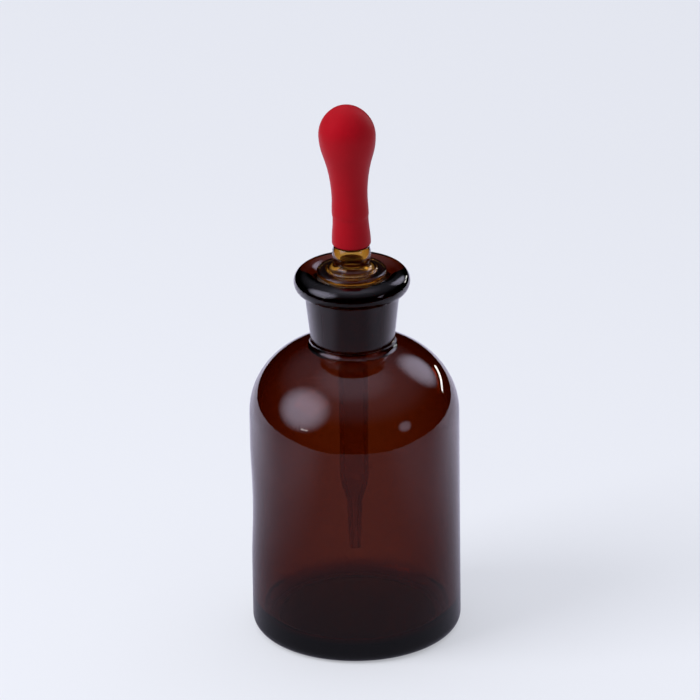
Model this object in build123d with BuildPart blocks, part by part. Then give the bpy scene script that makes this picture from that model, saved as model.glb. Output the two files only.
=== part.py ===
from build123d import *
from math import acos, atan2, cos, degrees, radians, sin, sqrt, tan
import os

# A round amber glass dropping bottle with a ground mouth, the hollow ground-in glass dropper
# that closes it, and the rubber teat on the dropper's barrel. Millimetres, +Z up, the origin
# on the bottle's axis at the surface it stands on.

# The bottle: body, foot and base
body_diameter = 45.0
body_height = 49.7              # straight wall, from the foot to the start of the shoulder
body_wall = 2.4
heel_radius = 2.5
inner_heel_radius = 3.6
foot_width = 3.0                # flat ring that the bottle stands on
foot_edge_radius = 0.5
punt_height = 1.6               # hollow under the base
base_thickness = 3.2

# The bottle: shoulder and neck
shoulder_rise = 16.45           # upright half-axis of the elliptical shoulder
shoulder_reach = 18.74          # level half-axis
neck_root_diameter = 17.7
neck_top_diameter = 20.3
neck_height = 12.0              # from the shoulder to the underside of the lip
neck_root_fillet = 1.4
throat_fillet = 1.6

# The bottle: beaded lip and its bevelled mouth
lip_overhang = 2.25             # how far the lip stands out past the neck
lip_bead_radius = 2.48
lip_root_fillet = 0.35
mouth_bevel_angle = 30.0        # fall of the bevel into the mouth, in degrees

# The ground joint of mouth and dropper
joint_diameter = 13.8           # wide end of the ground bore
joint_length = 15.0
joint_taper = 0.1               # change of diameter over length
joint_clearance = 0.04          # radial

# The dropper: flange and hollow plug
flange_diameter = 15.0
flange_thickness = 1.3
flange_gap = 0.4                # from the top of the ground bore to the flange's underside
plug_overrun = 0.5              # bore left free below the plug's cone
plug_wall = 1.5
plug_dome_height = 3.0
plug_dome_fillet = 0.9
stem_ring_diameter = 10.4       # raised ring on the flange, round the stem
stem_ring_height = 0.4
stem_ring_round = 0.35

# The dropper: stem, collar and barrel above the flange
stem_diameter = 7.8
stem_height = 1.4               # from the flange's top to the foot of the collar
collar_diameter = 8.3
collar_top_diameter = 7.5
collar_height = 3.95
collar_wall = 1.0
barrel_diameter = 5.6
barrel_wall = 1.0
barrel_height = 8.4             # from the collar to the end inside the teat
barrel_bead_diameter = 5.8
barrel_bead_length = 0.9

# The dropper: tube and drawn-out tip
tube_diameter = 6.2
tube_wall = 1.0
tube_length = 27.8              # straight stretch below the plug's dome
draw_length = 9.0               # where the tube narrows to the tip
tip_root_diameter = 3.2
tip_diameter = 2.4
tip_bore_diameter = 1.0
tip_length = 9.0

# The rubber teat
teat_seat_gap = 0.3             # from the collar to the teat's rim
teat_fit_clearance = 0.05       # radial, over the barrel's bead
teat_rim_diameter = 8.3
teat_rim_round = 0.45
teat_sleeve_diameter = 7.64     # the narrow stretches of the sleeve
teat_bead_swell = 0.11          # how far the barrel's bead lifts the sleeve, in radius
teat_rim_flare_height = 6.2
teat_neck_height = 2.6          # from the barrel's end to where the bulb starts to widen
bulb_diameter = 12.15
bulb_flank_height = 14.1        # from the narrow neck to the widest place
bulb_flank_share = 0.7          # part of the flank that curves inwards
bulb_crown_lift = 0.48          # how much higher the crown is than a ball's
bulb_crown_tightening = 0.5     # how much smaller its top's radius is than the bulb's
bulb_wall = 1.0

# Levels and radii worked out from the sizes above
body_radius = body_diameter / 2
inner_radius = body_radius - body_wall
foot_outer_radius = body_radius - heel_radius
foot_inner_radius = foot_outer_radius - foot_width
shoulder_centre_radius = body_radius - shoulder_reach
neck_root_radius = neck_root_diameter / 2
neck_top_radius = neck_top_diameter / 2


def level_on_ellipse(radius, centre_radius, reach, rise):
    """Height above the centre's level of an upright ellipse's point at a radius."""
    return rise * sqrt(1 - ((radius - centre_radius) / reach) ** 2)


neck_root_level = body_height + level_on_ellipse(
    neck_root_radius, shoulder_centre_radius, shoulder_reach, shoulder_rise
)
lip_radius = neck_top_radius + lip_overhang
lip_crest_radius = lip_radius - lip_bead_radius
lip_level = neck_root_level + neck_height + lip_bead_radius
lip_top_level = lip_level + lip_bead_radius
lip_root_level = lip_level - sqrt(lip_bead_radius**2 - (neck_top_radius - lip_crest_radius) ** 2)
bevel_turn = 90 + mouth_bevel_angle
bevel_top_radius = lip_crest_radius + lip_bead_radius * cos(radians(bevel_turn))
bevel_top_level = lip_level + lip_bead_radius * sin(radians(bevel_turn))
joint_radius = joint_diameter / 2
joint_level = bevel_top_level - (bevel_top_radius - joint_radius) * tan(radians(mouth_bevel_angle))
joint_foot_level = joint_level - joint_length
throat_radius = joint_radius - joint_length * joint_taper / 2


def joint_radius_at(level):
    """Radius of the ground bore at a level."""
    return joint_radius - (joint_level - level) * joint_taper / 2


def cap_radius(chord_radius, sagitta):
    """Radius of the circle whose cap has this half chord and height."""
    return (chord_radius**2 + sagitta**2) / (2 * sagitta)


def ogee(start, end, first_share=0.5):
    """Two arcs in a flowing S between points where the outline stands upright."""
    bend = (
        start[0] + first_share * (end[0] - start[0]),
        start[1] + first_share * (end[1] - start[1]),
    )
    TangentArc(start, bend, tangent=(0, end[1] - start[1]))
    TangentArc(end, bend, tangent=(0, start[1] - end[1]))


def ring_near(part, radius, level):
    """The round edge about Z that lies nearest to a radius and a level."""
    rings = part.edges().filter_by(GeomType.CIRCLE)
    return rings.sort_by(lambda edge: abs(edge.radius - radius) + abs(edge.center().Z - level))[0]


# The bottle, one moulded piece of amber glass: a closed section turned about Z
punt_radius = cap_radius(foot_inner_radius, punt_height)
floor_edge_radius = inner_radius - inner_heel_radius
floor_radius = cap_radius(floor_edge_radius, punt_height)
shoulder_inner_reach = shoulder_reach - body_wall
shoulder_inner_rise = shoulder_rise - body_wall
throat_foot_level = body_height + level_on_ellipse(
    throat_radius, shoulder_centre_radius, shoulder_inner_reach, shoulder_inner_rise
)
shoulder_turn = degrees(acos((neck_root_radius - shoulder_centre_radius) / shoulder_reach))
inner_shoulder_turn = degrees(acos((throat_radius - shoulder_centre_radius) / shoulder_inner_reach))
punt_turn = degrees(acos((punt_radius - punt_height) / punt_radius))
floor_turn = degrees(acos((floor_radius - punt_height) / floor_radius))

with BuildPart() as bottle:
    with BuildSketch(Plane.XZ):
        with BuildLine():
            # Under the base, round the heel and up the outside
            CenterArc((0, punt_height - punt_radius), punt_radius, 90, -punt_turn)
            Line((foot_inner_radius, 0), (foot_outer_radius, 0))
            CenterArc((foot_outer_radius, heel_radius), heel_radius, -90, 90)
            Line((body_radius, heel_radius), (body_radius, body_height))
            EllipticalCenterArc(
                (shoulder_centre_radius, body_height),
                shoulder_reach,
                shoulder_rise,
                start_angle=0,
                arc_size=shoulder_turn,
            )
            Line((neck_root_radius, neck_root_level), (neck_top_radius, lip_root_level))
            # Round the lip's bead and down the bevel into the mouth
            ThreePointArc(
                (neck_top_radius, lip_root_level),
                (lip_radius, lip_level),
                (bevel_top_radius, bevel_top_level),
            )
            Line((bevel_top_radius, bevel_top_level), (joint_radius, joint_level))
            Line((joint_radius, joint_level), (throat_radius, joint_foot_level))
            Line((throat_radius, joint_foot_level), (throat_radius, throat_foot_level))
            # Down the inside to the floor, which rises over the punt
            EllipticalCenterArc(
                (shoulder_centre_radius, body_height),
                shoulder_inner_reach,
                shoulder_inner_rise,
                start_angle=0,
                arc_size=inner_shoulder_turn,
            )
            Line((inner_radius, body_height), (inner_radius, base_thickness + inner_heel_radius))
            CenterArc(
                (floor_edge_radius, base_thickness + inner_heel_radius), inner_heel_radius, 0, -90
            )
            CenterArc(
                (0, base_thickness + punt_height - floor_radius), floor_radius, 90 - floor_turn, floor_turn
            )
            Line((0, base_thickness + punt_height), (0, punt_height))
        make_face()
    revolve(axis=Axis.Z)
    fillet(ring_near(bottle, neck_root_radius, neck_root_level), neck_root_fillet)
    fillet(ring_near(bottle, throat_radius, throat_foot_level), throat_fillet)
    fillet(ring_near(bottle, neck_top_radius, lip_root_level), lip_root_fillet)
    fillet(ring_near(bottle, foot_inner_radius, 0), foot_edge_radius)
bottle.part.label = "bottle"

# The dropper, one piece of blown and drawn glass, hollow from end to end
flange_bottom_level = joint_level + flange_gap
flange_top_level = flange_bottom_level + flange_thickness
flange_edge_radius = flange_thickness / 2
flange_flat_radius = flange_diameter / 2 - flange_edge_radius
plug_foot_level = joint_foot_level + plug_overrun
plug_top_radius = joint_radius_at(flange_bottom_level) - joint_clearance
plug_foot_radius = joint_radius_at(plug_foot_level) - joint_clearance
tube_radius = tube_diameter / 2
tube_top_level = plug_foot_level - plug_dome_height
draw_top_level = tube_top_level - tube_length
tip_root_level = draw_top_level - draw_length
tip_level = tip_root_level - tip_length

stem_radius = stem_diameter / 2
stem_ring_radius = stem_ring_diameter / 2
stem_ring_foot_radius = stem_ring_radius + stem_ring_round
ring_top_level = flange_top_level + stem_ring_height
collar_foot_level = flange_top_level + stem_height
collar_top_level = collar_foot_level + collar_height
barrel_radius = barrel_diameter / 2
barrel_bead_radius = barrel_bead_diameter / 2
barrel_top_level = collar_top_level + barrel_height
bead_foot_level = barrel_top_level - barrel_bead_length
barrel_bore_radius = barrel_radius - barrel_wall
barrel_rim_radius = (barrel_bead_radius - barrel_bore_radius) / 2

tube_bore_radius = tube_radius - tube_wall
tip_bore_radius = tip_bore_diameter / 2
tip_radius = tip_diameter / 2
tip_rim_radius = (tip_radius - tip_bore_radius) / 2
cavity_top_radius = plug_top_radius - plug_wall
cavity_foot_radius = plug_foot_radius - plug_wall
cavity_top_level = flange_bottom_level - plug_wall
collar_bore_radius = collar_diameter / 2 - collar_wall
collar_middle_level = (collar_foot_level + collar_top_level) / 2
stem_bore_radius = stem_radius - collar_wall

with BuildPart() as dropper_pipette:
    with BuildSketch(Plane.XZ):
        with BuildLine():
            # The fire-polished end of the barrel, its bead and the barrel
            ThreePointArc(
                (barrel_bore_radius, barrel_top_level - barrel_rim_radius),
                (barrel_bore_radius + barrel_rim_radius, barrel_top_level),
                (barrel_bead_radius, barrel_top_level - barrel_rim_radius),
            )
            ogee(
                (barrel_bead_radius, barrel_top_level - barrel_rim_radius),
                (barrel_radius, bead_foot_level),
            )
            Line((barrel_radius, bead_foot_level), (barrel_radius, collar_top_level))
            # The swollen collar that the teat sits on, and the stem running out into the flange
            Line((barrel_radius, collar_top_level), (collar_top_diameter / 2, collar_top_level))
            ThreePointArc(
                (collar_top_diameter / 2, collar_top_level),
                (collar_diameter / 2, collar_middle_level),
                (stem_radius, collar_foot_level),
            )
            TangentArc(
                (stem_radius, collar_foot_level),
                (stem_ring_radius, ring_top_level),
                tangent=(0, -1),
            )
            Line((stem_ring_radius, ring_top_level), (stem_ring_foot_radius, flange_top_level))
            Line((stem_ring_foot_radius, flange_top_level), (flange_flat_radius, flange_top_level))
            CenterArc(
                (flange_flat_radius, flange_top_level - flange_edge_radius), flange_edge_radius, 90, -180
            )
            Line((flange_flat_radius, flange_bottom_level), (plug_top_radius, flange_bottom_level))
            # The ground cone, its domed foot and the tube
            Line((plug_top_radius, flange_bottom_level), (plug_foot_radius, plug_foot_level))
            EllipticalCenterArc(
                (tube_radius, plug_foot_level),
                plug_foot_radius - tube_radius,
                plug_dome_height,
                start_angle=-90,
                arc_size=90,
            )
            Line((tube_radius, tube_top_level), (tube_radius, draw_top_level))
            ogee((tube_radius, draw_top_level), (tip_root_diameter / 2, tip_root_level))
            Line((tip_root_diameter / 2, tip_root_level), (tip_radius, tip_level + tip_rim_radius))
            ThreePointArc(
                (tip_radius, tip_level + tip_rim_radius),
                (tip_bore_radius + tip_rim_radius, tip_level),
                (tip_bore_radius, tip_level + tip_rim_radius),
            )
            # Up the inside: the fine bore of the tip, the tube, the hollow plug and the barrel
            Line((tip_bore_radius, tip_level + tip_rim_radius), (tip_bore_radius, tip_root_level))
            ogee((tip_bore_radius, tip_root_level), (tube_bore_radius, draw_top_level))
            Line((tube_bore_radius, draw_top_level), (tube_bore_radius, tube_top_level + tube_wall))
            EllipticalCenterArc(
                (tube_bore_radius, plug_foot_level),
                cavity_foot_radius - tube_bore_radius,
                plug_dome_height - tube_wall,
                start_angle=-90,
                arc_size=90,
            )
            Line((cavity_foot_radius, plug_foot_level), (cavity_top_radius, cavity_top_level))
            ogee((cavity_top_radius, cavity_top_level), (stem_bore_radius, collar_foot_level))
            ThreePointArc(
                (stem_bore_radius, collar_foot_level),
                (collar_bore_radius, collar_middle_level),
                (barrel_bore_radius, collar_top_level),
            )
            Line(
                (barrel_bore_radius, collar_top_level),
                (barrel_bore_radius, barrel_top_level - barrel_rim_radius),
            )
        make_face()
    revolve(axis=Axis.Z)
    fillet(ring_near(dropper_pipette, tube_radius, tube_top_level), plug_dome_fillet)
    fillet(ring_near(dropper_pipette, stem_ring_radius, ring_top_level), stem_ring_round / 2)
dropper_pipette.part.label = "dropper_pipette"

# The teat, one hollow dipped rubber moulding pushed over the barrel down to the collar
teat_rim_level = collar_top_level + teat_seat_gap
teat_rim_radius = teat_rim_diameter / 2
teat_rim_flat_radius = teat_rim_radius - teat_rim_round
rim_round_level = teat_rim_level + teat_rim_round
teat_sleeve_radius = teat_sleeve_diameter / 2
teat_swell_radius = teat_sleeve_radius + teat_bead_swell
teat_bore_radius = barrel_bead_radius + teat_fit_clearance
flare_top_level = teat_rim_level + teat_rim_flare_height
teat_neck_level = barrel_top_level + teat_neck_height
bulb_level = teat_neck_level + bulb_flank_height
bulb_radius = bulb_diameter / 2

# The crown is two arcs that share a tangent: a wide one off the flank and a tighter one over the top
cap_rise = bulb_crown_lift + bulb_crown_tightening
crown_level = bulb_level + cap_rise
cap_radius_outside = bulb_radius - bulb_crown_tightening
cap_offset = (bulb_crown_tightening**2 + cap_rise**2) / (2 * bulb_crown_tightening)
crown_side_radius = cap_radius_outside + cap_offset
crown_side_centre = bulb_radius - crown_side_radius
crown_turn = degrees(atan2(cap_rise, -crown_side_centre))
teat_top_level = crown_level + cap_radius_outside

with BuildPart() as rubber_teat:
    with BuildSketch(Plane.XZ):
        with BuildLine():
            # The rim, and the sleeve with its faint swelling over the barrel's bead
            Line((teat_bore_radius, teat_rim_level), (teat_rim_flat_radius, teat_rim_level))
            CenterArc((teat_rim_flat_radius, rim_round_level), teat_rim_round, -90, 90)
            ogee((teat_rim_radius, rim_round_level), (teat_sleeve_radius, flare_top_level))
            ogee((teat_sleeve_radius, flare_top_level), (teat_swell_radius, bead_foot_level))
            ogee((teat_swell_radius, bead_foot_level), (teat_sleeve_radius, teat_neck_level))
            # The bulb's flank and crown
            ogee((teat_sleeve_radius, teat_neck_level), (bulb_radius, bulb_level), bulb_flank_share)
            CenterArc((crown_side_centre, bulb_level), crown_side_radius, 0, crown_turn)
            CenterArc((0, crown_level), cap_radius_outside, crown_turn, 90 - crown_turn)
            # Down the inside, a wall's thickness away
            Line((0, teat_top_level), (0, teat_top_level - bulb_wall))
            CenterArc((0, crown_level), cap_radius_outside - bulb_wall, crown_turn, 90 - crown_turn)
            CenterArc((crown_side_centre, bulb_level), crown_side_radius - bulb_wall, 0, crown_turn)
            ogee(
                (bulb_radius - bulb_wall, bulb_level),
                (teat_bore_radius, teat_neck_level),
                1 - bulb_flank_share,
            )
            Line((teat_bore_radius, teat_neck_level), (teat_bore_radius, teat_rim_level))
        make_face()
    revolve(axis=Axis.Z)
rubber_teat.part.label = "rubber_teat"

os.makedirs("parts", exist_ok=True)
export_step(bottle.part, "parts/bottle.step")
export_step(dropper_pipette.part, "parts/dropper_pipette.step")
export_step(rubber_teat.part, "parts/rubber_teat.step")

print("lip top", round(lip_top_level, 2), "tip", round(tip_level, 2))
print("whole height", round(teat_top_level, 2))
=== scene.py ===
"""Dresses an amber dropping bottle: moulded glass, a ground-in glass dropper and a dipped rubber teat.

Sizes of the pieces are millimetres. What goes to Blender is metres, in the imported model's own frame:
+Z up, the origin where the bottle's axis meets the table.
"""

import logging
import math
from dataclasses import dataclass, fields
from enum import Enum

import bpy
from mathutils import Matrix, Vector


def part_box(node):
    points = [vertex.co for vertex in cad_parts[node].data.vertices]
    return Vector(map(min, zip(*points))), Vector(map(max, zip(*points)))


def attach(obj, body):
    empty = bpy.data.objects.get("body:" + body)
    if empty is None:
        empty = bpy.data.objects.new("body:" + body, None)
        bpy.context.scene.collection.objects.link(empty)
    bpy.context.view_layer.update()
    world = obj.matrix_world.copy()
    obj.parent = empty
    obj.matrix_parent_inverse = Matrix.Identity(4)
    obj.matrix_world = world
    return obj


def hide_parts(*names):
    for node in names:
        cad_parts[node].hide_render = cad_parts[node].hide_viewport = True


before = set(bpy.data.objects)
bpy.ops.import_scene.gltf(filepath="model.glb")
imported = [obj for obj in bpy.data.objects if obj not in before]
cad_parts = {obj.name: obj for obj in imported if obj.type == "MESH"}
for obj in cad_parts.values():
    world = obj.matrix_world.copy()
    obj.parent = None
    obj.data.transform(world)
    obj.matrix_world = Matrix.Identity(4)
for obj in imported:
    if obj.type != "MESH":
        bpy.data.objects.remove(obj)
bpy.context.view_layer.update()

LOG = logging.getLogger("dropper_bottle")
MM = 0.001
NECK_LEAN = -0.16    # millimetres along X from the body's axis to the neck's, and to all that it holds
MERGE = 0.001        # millimetres between spots that become one
MATH = "ShaderNodeMath"    # the node that does one sum


def linear(hex_colour: str) -> tuple[float, float, float]:
    """Turns an sRGB hex value into linear red, green and blue.

    Args:
        hex_colour: Six hex digits, such as "c4222e".

    Returns:
        The three linear channels, each 0 to 1.
    """
    channels = (int(hex_colour[at:at + 2], 16) / 255 for at in (0, 2, 4))
    return tuple(c / 12.92 if c <= 0.04045 else ((c + 0.055) / 1.055) ** 2.4 for c in channels)


def add(tree: bpy.types.NodeTree, kind: str, inputs: dict | tuple = (), **settings) -> bpy.types.Node:
    """Adds a node, sets it up and links what feeds it.

    Args:
        tree: Shader or geometry tree that gets the node.
        kind: Blender's name for the node's type.
        inputs: What its inputs get, in order or by name: a plain value, the socket that feeds one, or the
            node whose first output does.
        **settings: Properties of the node itself, such as an operation.

    Returns:
        The new node.
    """
    node = tree.nodes.new(kind)
    for name, value in settings.items():
        setattr(node, name, value)
    pairs = inputs.items() if isinstance(inputs, dict) else enumerate(inputs)
    for key, value in pairs:
        if isinstance(value, bpy.types.Node):
            value = value.outputs[0]
        if isinstance(value, bpy.types.NodeSocket):
            tree.links.new(value, node.inputs[key])
        else:
            node.inputs[key].default_value = value
    return node


def emptied(holder: bpy.types.Material | bpy.types.World) -> bpy.types.NodeTree:
    """Switches on the nodes of a material or a world, and clears them.

    Args:
        holder: The material or the world.

    Returns:
        Its tree, with nothing in it.
    """
    holder.use_nodes = True
    holder.node_tree.nodes.clear()
    return holder.node_tree


def direction(azimuth: float, elevation: float) -> Vector:
    """Points from the bottle to something around it.

    Args:
        azimuth: Degrees from the camera's side, to the right if positive.
        elevation: Degrees over the table.

    Returns:
        The direction, one long.
    """
    turned, raised = math.radians(azimuth), math.radians(elevation)
    reach = math.cos(raised)
    return Vector((math.sin(turned) * reach, -math.cos(turned) * reach, math.sin(raised)))


class Surface(Enum):
    """How a stretch of a piece's face was made."""

    TRUE = "true"        # pressed against metal or drawn, and true to the section
    FREE = "free"        # shaped by air or by its own dip, so it wanders a little
    GROUND = "ground"    # ground with grit to fit its partner


class Outline:
    """Half section of a turned piece, walked from its first spot to its last."""

    LONGEST_RUN = 2.0        # millimetres between neighbouring spots
    LARGEST_TURN = 5.0       # degrees of an arc between neighbouring spots
    FEWEST_STEPS = 4         # spots that an arc has beyond its first, at least
    SUPPORT = 0.05           # millimetres from a stretch's end to the spot that holds its slope

    def __init__(self, radius: float, level: float, surface: Surface) -> None:
        """Starts the walk.

        Args:
            radius: Distance of the first spot from the axis, in millimetres.
            level: Height of the first spot, in millimetres.
            surface: How the first stretch is made.
        """
        self.spots = [Vector((radius, level))]
        self.surfaces = [surface]
        self.surface = surface
        self.corners: list[tuple[int, float]] = []

    def _put(self, spot: Vector) -> None:
        """Adds a spot that belongs to the current surface."""
        self.spots.append(spot)
        self.surfaces.append(self.surface)

    def line(self, radius: float, level: float) -> None:
        """Goes straight to a spot.

        Args:
            radius: Distance of its end from the axis.
            level: Height of its end.
        """
        start, end = self.spots[-1], Vector((radius, level))
        length = (end - start).length
        runs = max(1, math.ceil(length / self.LONGEST_RUN))
        stops = {length * run / runs for run in range(1, runs + 1)}
        if length > 4 * self.SUPPORT:
            stops |= {self.SUPPORT, length - self.SUPPORT}
        for stop in sorted(stops):
            self._put(start.lerp(end, stop / length))

    def arc(self, centre: tuple[float, float], reach: float, rise: float, start: float, turn: float) -> None:
        """Follows a circle or an upright ellipse.

        Args:
            centre: Radius and level of its centre.
            reach: Half-axis across.
            rise: Half-axis upwards.
            start: Angle of its first spot, in degrees.
            turn: Angle that it sweeps, in degrees, anticlockwise if positive.
        """
        length = math.radians(abs(turn)) * max(reach, rise)
        by_turn, by_length = abs(turn) / self.LARGEST_TURN, length / self.LONGEST_RUN
        steps = max(self.FEWEST_STEPS, math.ceil(by_turn), math.ceil(by_length))
        for step in range(1, steps + 1):
            angle = math.radians(start + turn * step / steps)
            self._put(Vector((centre[0] + reach * math.cos(angle), centre[1] + rise * math.sin(angle))))

    def upright_arc(self, upright: Vector, other: Vector, from_upright: bool) -> None:
        """Follows the circle that stands upright at one spot and passes through another.

        Args:
            upright: The spot where it stands upright.
            other: The other spot.
            from_upright: Whether it is walked from the upright spot or towards it.
        """
        gap = other - upright
        centre = upright.x + gap.length_squared / (2 * gap.x)
        radius = abs(centre - upright.x)
        at_upright = 180.0 if centre > upright.x else 0.0
        at_other = math.degrees(math.atan2(gap.y, other.x - centre))
        turn = (at_other - at_upright + 180) % 360 - 180
        if from_upright:
            self.arc((centre, upright.y), radius, radius, at_upright, turn)
        else:
            self.arc((centre, upright.y), radius, radius, at_other, -turn)

    def swing(self, radius: float, level: float, first_share: float = 0.5) -> None:
        """Flows in an S to a spot, upright where it starts and where it ends.

        Args:
            radius: Distance of its end from the axis.
            level: Height of its end.
            first_share: Part of the way that the first of its two arcs takes.
        """
        start, end = self.spots[-1], Vector((radius, level))
        bend = start.lerp(end, first_share)
        self.upright_arc(start, bend, from_upright=True)
        self.upright_arc(end, bend, from_upright=False)

    def corner(self, rounding: float) -> None:
        """Marks the last spot as a corner that gets a round of that radius."""
        self.corners.append((len(self.spots) - 1, rounding))

    def _walk(self, start: int, step: int, distance: float) -> tuple[int, Vector, Vector]:
        """Walks along the spots from a corner.

        Args:
            start: Number of the corner's spot.
            step: 1 to walk on, -1 to walk back.
            distance: How far to walk, in millimetres.

        Returns:
            The number of the next spot beyond, the place reached, and the heading there.
        """
        at = start
        while True:
            run = self.spots[at + step] - self.spots[at]
            if run.length > distance:
                return at + step, self.spots[at] + run * (distance / run.length), run.normalized()
            distance -= run.length
            at += step

    def _round_corner(self, index: int, rounding: float) -> None:
        """Replaces the spots about a corner by an arc that both sides run into.

        Args:
            index: Number of the corner's spot.
            rounding: Radius that the arc has between two straight sides, in millimetres.
        """
        before = (self.spots[index] - self.spots[index - 1]).normalized()
        after = (self.spots[index + 1] - self.spots[index]).normalized()
        reach = rounding * math.tan(before.angle(after) / 2)
        last, foot, back = self._walk(index, -1, reach)
        following, head, ahead = self._walk(index, 1, reach)
        span = head - foot
        crossing = foot - back * (span.cross(ahead) / (-back).cross(ahead))
        half_turn = (-back).angle(ahead) / 2
        weight = math.cos(half_turn)
        steps = max(self.FEWEST_STEPS, math.ceil(math.degrees(2 * half_turn) / self.LARGEST_TURN))
        bend = [foot + back * self.SUPPORT]
        for step in range(steps + 1):
            t = step / steps
            shares = ((1 - t) ** 2, 2 * t * (1 - t) * weight, t**2)
            spots = (foot, crossing, head)
            total = sum(shares)
            bend.append(sum((spot * (share / total) for spot, share in zip(spots, shares)), Vector((0, 0))))
        bend.append(head + ahead * self.SUPPORT)
        middle = len(bend) // 2
        surfaces = [self.surfaces[index]] * middle + [self.surfaces[index + 1]] * (len(bend) - middle)
        self.spots[last + 1:following] = bend
        self.surfaces[last + 1:following] = surfaces

    def rounded(self) -> list[tuple[Vector, Surface]]:
        """Rounds the marked corners, the last one first.

        Returns:
            Each spot with its surface.
        """
        for index, rounding in reversed(self.corners):
            self._round_corner(index, rounding)
        self.corners = []
        return list(zip(self.spots, self.surfaces))


@dataclass(frozen=True)
class Turning:
    """What a piece needs beside its outline to be turned about the axis.

    Args:
        sides: Number of flats round the piece.
        wander: How far a free face strays from its section, in millimetres.
        wander_size: Distance over which it strays, in millimetres.
        lean: How far the head leans along X, in millimetres.
        lean_foot: Level below which nothing leans, in millimetres.
        lean_head: Level where the lean is reached, in millimetres.
        offset: How far the whole piece sits along X, in millimetres.
        sink: Depth of the shallow hollow in the side that faces -X, in millimetres.
        sink_level: Level where the hollow is deepest, in millimetres.
        sink_reach: How far up and down it runs from there, in millimetres.
        seed: Starting number of the wander.
    """

    sides: int = 200
    wander: float = 0.0
    wander_size: float = 14.0
    lean: float = 0.0
    lean_foot: float = 0.0
    lean_head: float = 1.0
    offset: float = 0.0
    sink: float = 0.0
    sink_level: float = 0.0
    sink_reach: float = 1.0
    seed: int = 1


def socket_name(field_name: str) -> str:
    """Turns the name of a field of Turning into that of the tree's input, such as "Wander Size"."""
    return field_name.replace("_", " ").title()


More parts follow.
